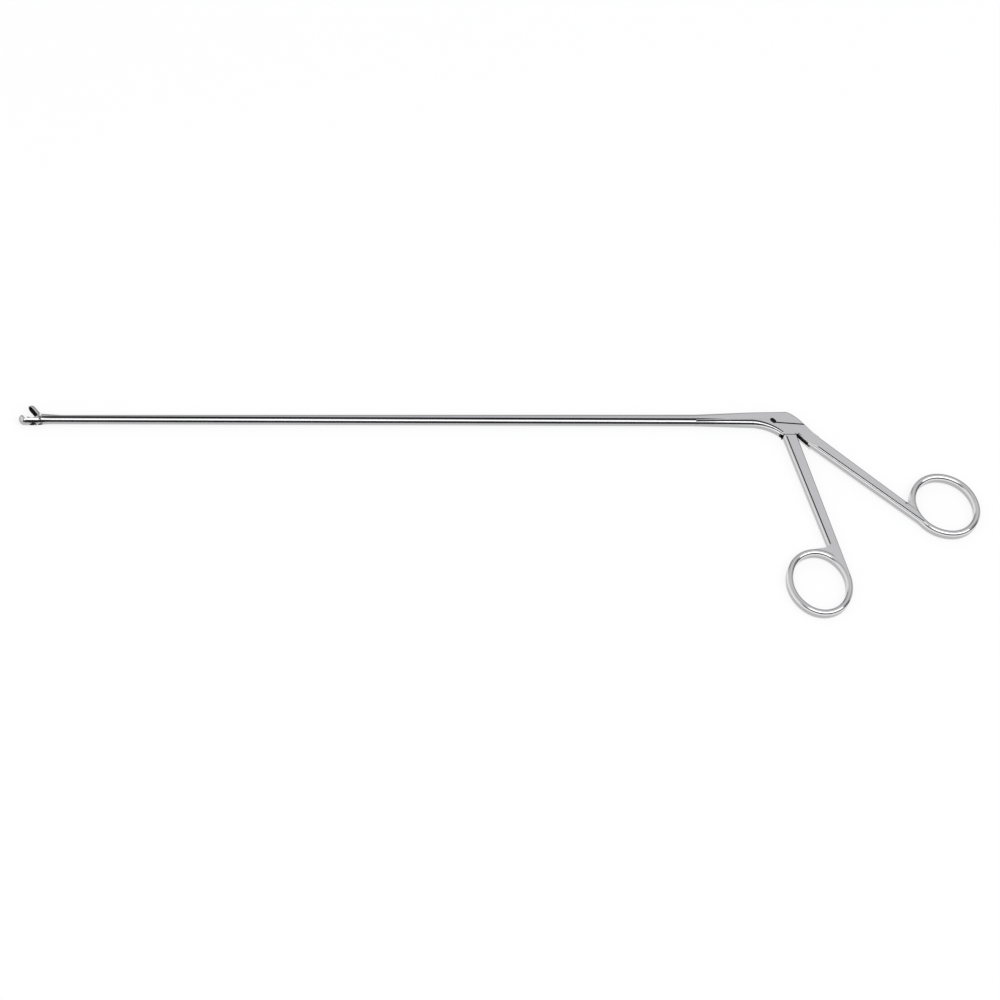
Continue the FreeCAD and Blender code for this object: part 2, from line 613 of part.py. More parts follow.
def rear_handle():
    """Head with its two cheeks, rear shank and thumb ring, one forging."""
    body = new_body("rear_forging")
    add_shank(body, "rear_shank", rear_start_x, -rear_start_drop, rear_slope, block_overlap - over,
              rear_ring_along, rear_top_wide, rear_end_wide)
    add_web(body, "rear_web", rear_start_x, -rear_start_drop, rear_slope, rear_notch, rear_end_wide, 1,
            rear_web_run, rear_web_rise)
    seam = round_section(body, "seam_section", -seam_back, shaft_round, split_rise,
                         shaft_rise - shaft_round, shaft_round * nearly)
    root_section = round_section(body, "root_section", -head_start, mid, split_rise, root_rise,
                                 root_edge)
    loft(body, "neck", [seam, root_section], True)
    sections = [round_section(body, "bend_section_0", -head_start, mid, split_rise, root_rise,
                              root_edge)]
    arc_round = shoulder_drop - shoulder_gap
    fall = root_rise + arc_round
    whole = head_start - head_front
    head_bend = (whole * whole + fall * fall) / (2 * fall)
    for step in range(1, bend_steps + 1):
        run = whole * step / bend_steps
        drop = head_bend - root(head_bend * head_bend - run * run)
        edge = root_edge - (root_edge - head_edge) * step / bend_steps
        sections.append(round_section(body, "bend_section_%d" % step, -head_start + run, mid,
                                      split_rise, root_rise - drop, edge))
    loft(body, "bend", sections, False)
    # head block between the bend and the shank, with the shoulder arc and the stop face
    block = new_sketch(body, "block_outline", "XY_Plane", 0)
    half = rear_top_wide / 2
    shank_top = along(rear_start_x, -rear_start_drop, rear_slope, 0, half)
    draw_outline(block, [(-head_front, -arc_round), (0, -arc_round), cheek_point(arc_round),
                         cheek_point(cheek_reach),
                         along(rear_start_x, -rear_start_drop, rear_slope, block_overlap, -half),
                         along(rear_start_x, -rear_start_drop, rear_slope, block_overlap, half),
                         shank_top, slit_line(tail_end, slit_gap), slit_line(-head_front, slit_gap)],
                 {1: (arc_round, 1)})
    grow(body, "PartDesign::Pad", "block", block, body_thick)
    # room for the slide's tail above the slit
    slit = new_sketch(body, "slit_outline", "XY_Plane", -over)
    upper, lower = eye_ends()
    top = split_rise + over
    draw_outline(slit, [(upper[0], top), upper, lower, slit_line(lower[0], slit_gap),
                        slit_line(tail_end + over, slit_gap), (tail_end + over, top)])
    cut_up(body, "slit", slit, body_thick + 2 * over)
    cut_eye(body)
    # slot for the tongue, open above and below
    slot = new_sketch(body, "slot_outline", "XY_Plane", mid - slot_wide / 2)
    wide = tongue_round + slot_room
    draw_outline(slot, [(-wide, split_rise), (-wide, 0), (-slot_front, -shoulder_drop),
                        (-slot_front - over, -2 * shoulder_drop), cheek_point(cheek_reach, -2 * over),
                        cheek_point(cheek_reach, slot_deep), cheek_point(wide, slot_deep),
                        (wide, split_rise)])
    cut_up(body, "slot", slot, slot_wide)
    bore(body, "pivot_bore", Size.of(0), Size.of(0), pivot_round + fit_gap)
    spigot = new_sketch(body, "spigot_bore_outline", "YZ_Plane", -seam_back)
    draw_circle(spigot, (spigot_rise, mid), spigot_round + fit_gap)
    cut_up(body, "spigot_bore", spigot, spigot_long + pin_gap)
    centre = along(rear_start_x, -rear_start_drop, rear_slope, rear_ring_along, ring_wide - ring_sink)
    return ringed("rear_handle", body, centre, rear_slope)


def front_handle():
    """Tongue, front shank and finger ring, one forging that turns on the handle pivot."""
    body = new_body("front_forging")
    start_x = -front_offset
    add_shank(body, "front_shank", start_x, Size.of(0), front_slope, pivot_round,
              front_ring_along, front_top_wide, front_end_wide)
    add_web(body, "front_web", start_x, Size.of(0), front_slope, front_notch, front_end_wide, -1,
            front_web_run, front_web_rise)
    # the shoulder under the head and the stop face behind it, at the full thickness
    shoulder = new_sketch(body, "shoulder_outline", "XY_Plane", -over)
    wide = front_top_wide * 2
    draw_outline(shoulder, [(-wide, -shoulder_drop), (0, -shoulder_drop),
                            along(0, 0, relief_angle, shoulder_drop),
                            along(0, 0, relief_angle, wide), (wide, -wide), (wide, wide),
                            (-wide, wide)],
                 {1: (shoulder_drop, 1)})
    cut_up(body, "shoulder", shoulder, body_thick + 2 * over)
    # the tongue: a disc about the pivot, a neck up to the slide and a web down into the shank
    base = mid - tongue_thick / 2
    lean = 90 - handle_swing / 2
    disc = draw_circle(new_sketch(body, "disc_outline", "XY_Plane", base), (0, 0), tongue_round)
    grow(body, "PartDesign::Pad", "disc", disc, tongue_thick)
    radial = tongue_arm / cosine(handle_swing / 2)
    neck = new_sketch(body, "neck_outline", "XY_Plane", base)
    foot = tongue_round * neck_share
    draw_outline(neck, [along(0, 0, -lean, 0, -foot), along(0, 0, -lean, radial, -tongue_tip),
                        along(0, 0, -lean, radial, tongue_tip), along(0, 0, -lean, 0, foot)],
                 {1: (tongue_tip * hair, -1)})
    grow(body, "PartDesign::Pad", "neck", neck, tongue_thick)
    web = new_sketch(body, "web_outline", "XY_Plane", base)
    inset = front_top_wide / 2 - shank_edge
    draw_outline(web, [along(0, 0, -lean, 0, foot),
                       along(start_x, 0, front_slope, shoulder_drop, -inset),
                       along(start_x, 0, front_slope, 2 * shoulder_drop, -inset),
                       along(start_x, 0, front_slope, 2 * shoulder_drop, inset - shank_edge),
                       along(start_x, 0, front_slope, shoulder_drop, inset - shank_edge),
                       along(0, 0, -lean, 0, -foot)])
    grow(body, "PartDesign::Pad", "web", web, tongue_thick)
    bore(body, "tongue_bore", Size.of(0), Size.of(0), pivot_round + pin_gap)
    drive = new_sketch(body, "drive_slot_outline", "XY_Plane", -over)
    draw_long_hole(drive, along(0, 0, -lean, tongue_arm - pin_gap),
                   along(0, 0, -lean, radial + pin_gap), slide_pin_round + pin_gap)
    cut_up(body, "drive_slot", drive, body_thick + 2 * over)
    centre = along(start_x, 0, front_slope, front_ring_along, ring_sink - ring_wide)
    return ringed("front_handle", body, centre, front_slope)


def ringed(name, body, centre, slope):
    """A forging joined to its ring: the shank stops at the ring's centre line."""
    inside = new_sketch(body, name + "_ring_inside", "XY_Plane", -over)
    draw_oval(inside, centre[0], centre[1], slope, -ring_seat)
    cut_up(body, name + "_shank_end", inside, body_thick + 2 * over)
    return join(name, [body, add_ring(name + "_ring", centre[0], centre[1], slope)])


def sliding_shaft():
    """The moving half of the shaft: fork nose, hump, bar and the flat sided tail."""
    body = new_body("slide_bar")
    front = jaw_x + hump_start
    nose = [slide_section(body, "nose_front", jaw_x - nose_reach, nose_half, split_rise + nose_high,
                          nose_edge),
            slide_section(body, "nose_back", front + over, nose_half, split_rise + nose_high,
                          nose_edge)]
    loft(body, "nose", nose, True)
    high_start = split_rise + slide_high_tail - (slide_high_tail - slide_high_seam) * (
        tail_start - tail_crest) / (seam_back - tail_crest)
    bar = new_sketch(body, "bar_outline", "XY_Plane", mid - shaft_round)
    draw_outline(bar, [(front, slide_floor), (-seam_back, slide_floor),
                       (-seam_back, split_rise + slide_high_seam), (front, split_rise + slide_high_front)])
    grow(body, "PartDesign::Pad", "bar_run", bar, 2 * shaft_round)
    longest = (shaft_reach / 2).value
    round_edges(body, "bar_edges", slide_edge, lambda edge: edge.Length > longest
                and edge.CenterOfMass.y > split_rise.value + over)
    flare = [slide_section(body, "flare_front", -seam_back, shaft_round,
                           split_rise + slide_high_seam, slide_edge),
             slide_section(body, "flare_back", -tail_start, mid, high_start, tail_edge)]
    loft(body, "flare", flare, True)
    hump = [slide_section(body, "hump_front", front, hump_half, split_rise + hump_high, slide_edge),
            slide_section(body, "hump_back", front + hump_long, shaft_round,
                          split_rise + slide_high_front, slide_edge)]
    loft(body, "hump", hump, True)
    # fork for the jaw's heel, its drive pin and the two stud seats
    fork = new_sketch(body, "nose_fork_outline", "XY_Plane", mid - jaw_slot / 2)
    fork_end = jaw_x + stroke / 2 + drive_lobe + 2 * fork_room
    draw_outline(fork, [(jaw_x - nose_reach - over, jaw_y), (fork_end, jaw_y),
                        (fork_end, split_rise + hump_high + over),
                        (jaw_x - nose_reach - over, split_rise + hump_high + over)])
    cut_up(body, "nose_fork", fork, jaw_slot)
    bore(body, "drive_bore", jaw_x + stroke / 2, jaw_y + jaw_arm, drive_pin_round + fit_gap)
    for label, x in (("front", jaw_x + front_stud_back), ("rear", -rear_stud_back)):
        seat = new_sketch(body, label + "_stud_seat_outline", "XZ_Plane", -slide_floor - stud_seat)
        draw_circle(seat, (x, mid), stud_round + fit_gap)
        cut_up(body, label + "_stud_seat", seat, stud_seat + over)
    return join("sliding_shaft", [body, slide_tail(high_start)])


def slide_tail(high_start):
    """The flat sided tail over the head, with the fork that the tongue works in."""
    body = new_body("slide_tail")
    outline = new_sketch(body, "tail_outline", "XY_Plane", 0)
    upper, lower = eye_ends()
    draw_outline(outline, [(-tail_start, slide_floor), (upper[0], slide_floor), lower,
                           slit_line(lower[0]), slit_line(tail_end),
                           (-tail_crest, split_rise + slide_high_tail), (-tail_start, high_start)],
                 {4: (tail_bow, -1)})
    grow(body, "PartDesign::Pad", "tail_plate", outline, body_thick)
    crest = -tail_crest.value
    round_edges(body, "crest_rounding", crest_round, lambda edge: not lies_flat(edge)
                and abs(edge.CenterOfMass.x - crest) < over and edge.CenterOfMass.y > high_start.value)
    round_edges(body, "tail_rounding", tail_edge, lambda edge: lies_flat(edge)
                and edge.CenterOfMass.x > -tail_start.value + 0.1
                and edge.CenterOfMass.y > slide_floor.value + 1)
    cut_eye(body)
    pin_x = stroke / 2
    slot = new_sketch(body, "tail_slot_outline", "XY_Plane", mid - slot_wide / 2)
    crown = tongue_tip + tail_room
    spread = tongue_round * neck_share + stroke / 2 + tail_room
    draw_outline(slot, [(pin_x - spread, 0), (pin_x + spread, 0),
                        (pin_x + crown, tongue_arm), (pin_x - crown, tongue_arm)],
                 {2: (crown * hair, -1)})
    cut_up(body, "tail_slot", slot, slot_wide)
    bore(body, "tail_bore", pin_x, tongue_arm, slide_pin_round + fit_gap)
    return body


def upper_jaw():
    """The moving cup, drawn closed about its own pivot and then swung open."""
    body = new_body("upper_jaw")
    tip = cup_wall + bite_gap - cup_reach
    ball = tip + bite_round
    profile = new_sketch(body, "bite_profile", "XY_Plane", mid)
    draw_outline(profile, [(tip, bite_rim), (-bite_heel, bite_rim),
                           (-bite_heel, bite_rim + bite_round), (ball, bite_rim + bite_round)],
                 {3: (bite_round, -1)})
    turn(body, "PartDesign::Revolution", "bite", profile)
    hollow = new_sketch(body, "bite_hollow_profile", "XY_Plane", mid)
    inner = bite_round - bite_wall
    draw_outline(hollow, [(ball - inner, bite_rim), (-bite_heel - bite_wall, bite_rim),
                          (-bite_heel - bite_wall, bite_rim + inner), (ball, bite_rim + inner)],
                 {3: (inner, -1)})
    turn(body, "PartDesign::Groove", "bite_hollow", hollow)
    below = new_sketch(body, "below_rim_outline", "XY_Plane", -over)
    draw_outline(below, [(tip - over, bite_rim - 2 * bite_round), (over, bite_rim - 2 * bite_round),
                         (over, bite_rim), (tip - over, bite_rim)])
    cut_up(body, "below_rim", below, body_thick + 2 * over)
    window = new_sketch(body, "bite_window_outline", "XZ_Plane", -bite_rim - bite_round - over)
    draw_long_hole(window, (ball, mid), (-bite_heel - 2 * bite_wall - bite_window / 2, mid),
                   bite_window / 2)
    cut_up(body, "bite_window", window, bite_round)
    # heel between the forks: a disc about the pivot, an arm to the cup and a lobe for the drive pin
    base = mid - heel_thick / 2
    disc = draw_circle(new_sketch(body, "heel_disc_outline", "XY_Plane", base), (0, 0), heel_round)
    grow(body, "PartDesign::Pad", "heel_disc", disc, heel_thick)
    arm = new_sketch(body, "heel_arm_outline", "XY_Plane", base)
    lean = jaw_swing / 2
    radial = jaw_arm / cosine(lean)
    lobe = (-radial * sine(lean), radial * cosine(lean))
    inside = heel_round * nearly
    draw_outline(arm, [(-bite_heel - bite_wall, bite_rim), along(0, 0, heel_slope, inside),
                       (inside, 0), (lobe[0] + drive_lobe, lobe[1]),
                       (lobe[0] - drive_lobe, lobe[1]),
                       (-bite_heel - bite_wall, bite_rim + bite_round - bite_wall)],
                 {3: (drive_lobe * hair, -1)})
    grow(body, "PartDesign::Pad", "heel_arm", arm, heel_thick)
    bore(body, "heel_bore", Size.of(0), Size.of(0), jaw_pin_round + pin_gap)
    drive = new_sketch(body, "heel_slot_outline", "XY_Plane", -over)
    short = jaw_arm - pin_gap
    long = radial + pin_gap
    draw_long_hole(drive, (-short * sine(lean), short * cosine(lean)),
                   (-long * sine(lean), long * cosine(lean)), drive_pin_round + pin_gap)
    cut_up(body, "heel_slot", drive, body_thick + 2 * over)
    body.Placement = Placement(Vector(0, 0, 0), Rotation(Vector(0, 0, 1), -jaw_swing.value))
    body.setExpression("Placement.Base.x", jaw_x.text)
    body.setExpression("Placement.Base.y", jaw_y.text)
    body.setExpression("Placement.Rotation.Angle", (-jaw_swing).text)
    return body


def guide_stud(name, x):
    """A T shaped stud riveted into the slide; its head runs in the lower shaft's undercut slot."""
    stem = doc.addObject("Part::Cylinder", name + "_stem")
    stem.setExpression("Radius", stud_round.text)
    stem.setExpression("Height", (stud_seat + slide_gap + stud_neck + pin_gap + stud_head_high).text)
    head = doc.addObject("Part::Cylinder", name + "_head")
    head.setExpression("Radius", stud_head.text)
    head.setExpression("Height", stud_head_high.text)
    for piece, y in ((stem, slide_floor + stud_seat), (head, split_rise - stud_neck - pin_gap)):
        piece.Placement = Placement(Vector(0, 0, 0), Rotation(Vector(1, 0, 0), 90))
        piece.setExpression("Placement.Base.x", x.text)
        piece.setExpression("Placement.Base.y", y.text)
        piece.setExpression("Placement.Base.z", mid.text)
    return join(name, [stem, head])


nodes = [
    lower_shaft(),
    rear_handle(),
    front_handle(),
    sliding_shaft(),
    upper_jaw(),
    pin_node("jaw_pivot_pin", jaw_x, jaw_y, jaw_pin_round, mid - jaw_pin_half, 2 * jaw_pin_half),
    pin_node("jaw_drive_pin", jaw_x + stroke / 2, jaw_y + jaw_arm, drive_pin_round,
             mid - drive_pin_half, 2 * drive_pin_half),
    pin_node("handle_pivot_pin", Size.of(0), Size.of(0), pivot_round, 0, body_thick),
    pin_node("handle_drive_pin", stroke / 2, tongue_arm, slide_pin_round, 0, body_thick),
    guide_stud("front_guide_stud", jaw_x + front_stud_back),
    guide_stud("rear_guide_stud", -rear_stud_back),
]
doc.recompute()

for thing in doc.Objects:
    if "Invalid" in thing.State or "Error" in thing.State:
        raise RuntimeError("this object failed: " + thing.Name)
    if thing.TypeId == "PartDesign::Body" and len(thing.Shape.Solids) != 1:
        raise RuntimeError("this body is not one solid: " + thing.Name)
os.makedirs("parts", exist_ok=True)
for node in nodes:
    shape = node.Shape
    if shape.isNull() or not shape.isValid() or not shape.Solids:
        raise RuntimeError("this sub-part has no sound solid: " + node.Label)
    print(node.Label, len(shape.Solids), "solid,", round(shape.Volume, 1), "cubic millimetres")
    shape.exportStep("parts/" + node.Label + ".step")
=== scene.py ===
# %% [markdown]
# # Biopsy forceps
# Long, slender forceps lie flat on one side on a white table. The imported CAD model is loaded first
# and keeps its shape, because every form that shows is already in it. This scene adds what a solid
# doesn't have: the camera, the studio, and a steel finish for each piece. Places are given in the
# model's own frame: X runs along the shaft from the jaws to the handles, Y from the finger rings to
# the shaft, and Z up from the table.

import math
from collections import namedtuple

import bpy
from mathutils import Matrix, Vector


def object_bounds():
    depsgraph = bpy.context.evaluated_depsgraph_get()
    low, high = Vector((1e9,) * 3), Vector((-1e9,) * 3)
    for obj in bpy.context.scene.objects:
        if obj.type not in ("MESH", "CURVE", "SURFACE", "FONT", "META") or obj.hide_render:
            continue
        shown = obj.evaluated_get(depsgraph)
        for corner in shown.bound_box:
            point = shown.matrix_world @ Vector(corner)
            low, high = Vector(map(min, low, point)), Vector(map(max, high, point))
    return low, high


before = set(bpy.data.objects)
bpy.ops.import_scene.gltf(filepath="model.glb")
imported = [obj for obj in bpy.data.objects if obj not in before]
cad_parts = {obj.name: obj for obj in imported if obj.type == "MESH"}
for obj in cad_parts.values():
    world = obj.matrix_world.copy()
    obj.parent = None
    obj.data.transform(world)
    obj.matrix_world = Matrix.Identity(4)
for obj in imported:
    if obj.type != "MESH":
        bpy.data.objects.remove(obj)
cad_low, cad_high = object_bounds()

# %% [markdown]
# The photograph looks down from above, a little from the front left. Lines along the shaft don't run
# together in it at all, so the camera is a parallel one and its distance doesn't matter. Its place
# could be found by trial, but it is quicker to work it out from one point that is easy to see, the
# axis of the handle pivot, and from the way in which the part's axes run across the picture.

# %% Camera
PICTURE = 1000
METRES_PER_PIXEL = 0.000445
PIVOT_PIXEL = (797.0, 428.0)
PIVOT_FACE = Vector((0.0017, 0.0, 0.0053))
CAMERA_DISTANCE = 2.0
ROLL = math.radians(0.206)
ACROSS_PICTURE = Vector((0.967, -0.116, 0.2215)).normalized()
ROUGHLY_UP_PICTURE = Vector((0.0, 0.886, 0.463))


def add_camera():
    """Camera whose picture centre is the pivot's face moved by the pixels between the two."""
    towards_camera = ACROSS_PICTURE.cross(ROUGHLY_UP_PICTURE).normalized()
    up_picture = towards_camera.cross(ACROSS_PICTURE)
    right = ACROSS_PICTURE * math.cos(ROLL) + up_picture * math.sin(ROLL)
    up = up_picture * math.cos(ROLL) - ACROSS_PICTURE * math.sin(ROLL)
    aim = (PIVOT_FACE + right * (PICTURE / 2 - PIVOT_PIXEL[0]) * METRES_PER_PIXEL
           - up * (PICTURE / 2 - PIVOT_PIXEL[1]) * METRES_PER_PIXEL)
    data = bpy.data.cameras.new("camera")
    data.type = "ORTHO"
    data.ortho_scale = PICTURE * METRES_PER_PIXEL
    camera = bpy.data.objects.new("camera", data)
    bpy.context.scene.collection.objects.link(camera)
    turn = Matrix((right, up, towards_camera)).transposed()
    camera.matrix_world = Matrix.Translation(aim + towards_camera * CAMERA_DISTANCE) @ turn.to_4x4()
    bpy.context.scene.camera = camera
    return towards_camera


print("direction to the camera:", tuple(round(c, 3) for c in add_camera()))

# %% [markdown]
# Shader maths reads best as formulas. A small class wraps one output of a node, and its plus, minus,
# times, divide and power signs add the Math nodes. Every other node comes from one method, which
# sets the node's settings first and then its inputs: numbers, colours or other outputs.

# %% Formulas for shaders
class Wire:
    """One output of a shader node that can be used in a formula."""

    def __init__(self, bench, socket):
        self.bench = bench
        self.socket = socket

    def beside(self, name):
        """Another output of the same node, by its name or number."""
        return Wire(self.bench, self.socket.node.outputs[name])

    def math(self, operation, first, second):
        return self.bench.node("ShaderNodeMath", {"operation": operation}, {0: first, 1: second})

    def __add__(self, other):
        return self.math("ADD", self, other)

    def __sub__(self, other):
        return self.math("SUBTRACT", self, other)

    def __mul__(self, other):
        return self.math("MULTIPLY", self, other)

    def __truediv__(self, other):
        return self.math("DIVIDE", self, other)

    def __pow__(self, other):
        return self.math("POWER", self, other)

    def __radd__(self, other):
        return self.math("ADD", other, self)

    def __rsub__(self, other):
        return self.math("SUBTRACT", other, self)

    def __rmul__(self, other):
        return self.math("MULTIPLY", other, self)

    def at_least(self, other):
        return self.math("MAXIMUM", self, other)

    def at_most(self, other):
        return self.math("MINIMUM", self, other)

    def clamped(self):
        """The value held between 0 and 1."""
        return self.bench.node("ShaderNodeClamp", {}, {"Value": self})

    def size(self):
        """The value without its sign."""
        return self.math("ABSOLUTE", self, 0.0)

    def under(self, limit, soft):
        """1 where the value is under the limit and 0 above it, with a soft step between the two."""
        return ((limit - self) / soft + 0.5).clamped()

    def over(self, limit, soft):
        """1 where the value is over the limit and 0 below it, with a soft step between the two."""
        return ((self - limit) / soft + 0.5).clamped()

    def within(self, low, high, soft_low, soft_high):
        """1 between two limits and 0 outside them, each with its own soft step."""
        return self.over(low, soft_low) * self.under(high, soft_high)


class Bench:
    """The node tree that one finish is built on."""

    def __init__(self, owner):
        owner.use_nodes = True
        self.tree = owner.node_tree
        self.tree.nodes.clear()

    def node(self, kind, settings, inputs, output=0):
        """New node of a kind with its settings and inputs, as a wire from one of its outputs."""
        made = self.tree.nodes.new(kind)
        for name, value in settings.items():
            setattr(made, name, value)
        for name, value in inputs.items():
            if isinstance(value, Wire):
                self.tree.links.new(value.socket, made.inputs[name])
            else:
                made.inputs[name].default_value = value
        return Wire(self, made.outputs[output]) if len(made.outputs) else made

    def mix(self, factor, first, second):
        """Colour that goes from first to second as factor goes from 0 to 1."""
        return self.node("ShaderNodeMix", {"data_type": "RGBA"},
                         {0: factor, 6: first, 7: second}, 2)

    def noise(self, place, scale, detail, rough=0.55):
        """Cloudy value around a half, finer with a larger scale and rougher with more detail."""
        return self.node("ShaderNodeTexNoise", {},
                         {"Vector": place, "Scale": scale, "Detail": detail, "Roughness": rough})


def grey(level, blue=1.0):
    """Plain grey as a colour, with its blue made a little stronger where steel should look cool."""
    return (level, level, level * blue, 1.0)


# %% [markdown]
# The table is one large sheet. A pure white one would have to be lit until the steel burned out, so
# it is pale paper that takes the shadow, mixed with a glow that only the camera and reflections see.
# Light Path tells the material which kind of ray has met it.

# %% Table
FLOOR_COLOUR = (0.93, 0.93, 0.935, 1.0)
FLOOR_SIZE = 8.0
FLOOR_GLOW = 0.80
FLOOR_DROP = 0.00005


def add_floor():
    """White sheet that keeps a soft shadow, and that the camera and the steel see almost white."""
    half = FLOOR_SIZE / 2
    mesh = bpy.data.meshes.new("table")
    mesh.from_pydata([(-half, -half, 0), (half, -half, 0), (half, half, 0), (-half, half, 0)], [],
                     [(0, 1, 2, 3)])
    table = bpy.data.objects.new("table", mesh)
    bpy.context.scene.collection.objects.link(table)
    table.location.z = cad_low[2] - FLOOR_DROP
    finish = bpy.data.materials.new("table_white")
    bench = Bench(finish)
    rays = bench.node("ShaderNodeLightPath", {}, {})
    seen = (rays.beside("Is Camera Ray") + rays.beside("Is Glossy Ray")
            + rays.beside("Is Transmission Ray")).clamped()
    paper = bench.node("ShaderNodeBsdfDiffuse", {}, {"Color": FLOOR_COLOUR})
    glow = bench.node("ShaderNodeEmission", {}, {"Color": grey(1.0), "Strength": 1.0})
    both = bench.node("ShaderNodeMixShader", {}, {0: seen * FLOOR_GLOW, 1: paper, 2: glow})
    bench.node("ShaderNodeOutputMaterial", {}, {"Surface": both})
    mesh.materials.append(finish)


add_floor()
print("table", FLOOR_SIZE, "m wide")

# %% [markdown]
# Steel only looks like steel when it has something to reflect. In the photograph the flat faces are
# mid grey, and the round shaft shows a white stripe above a dark one. Real screens round the table
# would do that, but the world can paint them without one more object: grey walls that get lighter
# upwards, a bright screen to the left and a dark panel low in front. One long soft box on the
# camera's side gives the shadow and the white stripe.

# %% Room and soft box
WALL_BLUE = 1.02
FRONT_WALL = ((0.0, 0.09), (0.25, 0.14), (0.5, 0.26), (0.72, 0.45), (0.9, 0.75), (1.0, 0.85))
BACK_WALL = ((0.0, 0.38), (0.2, 0.48), (0.5, 0.72), (0.75, 1.0), (0.9, 1.15), (1.0, 1.15))
FRONT_ENDS = (0.2, 0.3)
LEFT_SCREEN = 1.4
LEFT_SCREEN_ENDS = (-0.72, 0.12)
DARK_PANEL = 0.035
DARK_PANEL_SIDES = (-0.15, 0.55, 0.15, 0.15)
DARK_PANEL_DEPTH = (-0.45, 0.3)
DARK_PANEL_TOP = (0.7, 0.2)
SKY_FOR_FLOOR = (0.74, 0.74, 0.745, 1.0)


def wall(bench, height, levels):
    """Grey of a wall as a colour ramp over the height at which a ray meets it."""
    ramp = bench.node("ShaderNodeValToRGB", {}, {"Fac": height})
    stops = ramp.socket.node.color_ramp.elements
    for stop, (position, level) in zip(stops, (levels[0], levels[-1])):
        stop.position = position
        stop.color = grey(level, WALL_BLUE)
    for position, level in levels[1:-1]:
        stops.new(position).color = grey(level, WALL_BLUE)
    return ramp


def add_sky():
    """World that is white to the camera, plain to the table, and a room with screens to the steel."""
    world = bpy.data.worlds.new("studio")
    bpy.context.scene.world = world
    bench = Bench(world)
    direction = bench.node("ShaderNodeTexCoord", {}, {})
    across = bench.node("ShaderNodeSeparateXYZ", {}, {"Vector": direction})
    away = across.beside("Y")
    height = across.beside("Z").clamped()
    room = bench.mix(away.over(*FRONT_ENDS), wall(bench, height, FRONT_WALL),
                     wall(bench, height, BACK_WALL))
    panel = across.within(*DARK_PANEL_SIDES) * away.under(*DARK_PANEL_DEPTH)
    room = bench.mix(panel * height.under(*DARK_PANEL_TOP), room, grey(DARK_PANEL))
    room = bench.mix(across.under(*LEFT_SCREEN_ENDS), room, grey(LEFT_SCREEN))
    rays = bench.node("ShaderNodeLightPath", {}, {})
    shown = bench.mix(rays.beside("Is Diffuse Ray"), room, SKY_FOR_FLOOR)
    shown = bench.mix(rays.beside("Is Camera Ray"), shown, grey(1.0))
    light = bench.node("ShaderNodeBackground", {}, {"Color": shown, "Strength": 1.0})
    bench.node("ShaderNodeOutputWorld", {}, {"Surface": light})


def add_soft_box(name, place, aim, wide, tall, power):
    """Area lamp at a place, turned to the point that it aims at."""
    data = bpy.data.lights.new(name, "AREA")
    data.shape = "RECTANGLE"
    data.size = wide
    data.size_y = tall
    data.energy = power
    lamp = bpy.data.objects.new(name, data)
    bpy.context.scene.collection.objects.link(lamp)
    lamp.location = place
    lamp.rotation_mode = "QUATERNION"
    lamp.rotation_quaternion = (Vector(aim) - Vector(place)).to_track_quat("-Z", "Y")


add_sky()
add_soft_box("long_box", (-0.05, -0.58, 1.42), (-0.15, 0, 0), wide=2.8, tall=0.64, power=13.0)
bpy.context.scene.view_settings.view_transform = "Standard"
print("lamps:", [item.name for item in bpy.data.objects if item.type == "LIGHT"])

# %% [markdown]
# Some places on the steel are dark because light can't get in: between the slide and the fixed
# shaft, in the slot for the tongue, inside the two cups. The gaps are real in the model, but many are
# thinner than a pixel, and a render alone leaves them too pale, so their shade is painted into the
# colour. Each one is a soft mask that is worked out from the spot on the part: its place in
# millimetres, and how far its surface faces up. The first group of masks is on the shaft and the neck
# of the head; along it the head's flat side also gets a painted dark reflection at its lower edge.

# %% Painted shade and reflection along the shaft
MIDDLE = 2.65
SPLIT_RISE = 4.44
SPLIT_ENDS = (-346.5, -36.0, 0.5, 12.0)
SEAM_BACK = 44.0
NECK_DROP = 0.05
HEAD_START = 18.5
HEAD_FRONT = 4.8
FACE_START = 3.75
BEND_ROUND = 21.43
ROOT_EDGE = 1.9
HEAD_EDGE = 1.0

Spot = namedtuple("Spot", "x y z up")


def either(first, second):
    """The darker of two masks."""
    return first.at_least(second)


def split_shade(spot):
    """Painted shade in the gap between slide and shaft, from the fixed jaw's heel to where the flat
    sides begin.
    """
    return (spot.y - SPLIT_RISE - 0.09).size().under(0.47, 0.14) * spot.x.within(*SPLIT_ENDS)


def face_edge_reflection(spot):
    """Painted dark reflection along the lower edge of the head's flat side.

    The edge falls evenly along the neck. Round the bend it falls by a circle's drop, the radius
    less the root of the radius squared less the run squared, and by an even taper as well.
    """
    neck_rise = SPLIT_RISE - NECK_DROP
    fall = (neck_rise - FACE_START) / (SEAM_BACK - HEAD_START)
    neck_low = neck_rise - (spot.x + SEAM_BACK) * fall
    run = (spot.x + HEAD_START).at_least(0.0)
    drop = BEND_ROUND - (BEND_ROUND ** 2 - run * run) ** 0.5
    bend_low = FACE_START - drop - run * ((ROOT_EDGE - HEAD_EDGE) / (HEAD_START - HEAD_FRONT))
    edge = (spot.y - neck_low.at_most(bend_low) - 0.05).size().under(0.34, 0.14)
    return edge * spot.x.within(-SEAM_BACK, -HEAD_FRONT, 0.2, 0.2) * spot.up.size().over(0.5, 0.3)


def braze_line(spot):
    """Faint seam where the fixed shaft is brazed into the head."""
    return (spot.x + SEAM_BACK).size().under(0.1, 0.15) * spot.y.under(SPLIT_RISE, 0.1) * 0.5
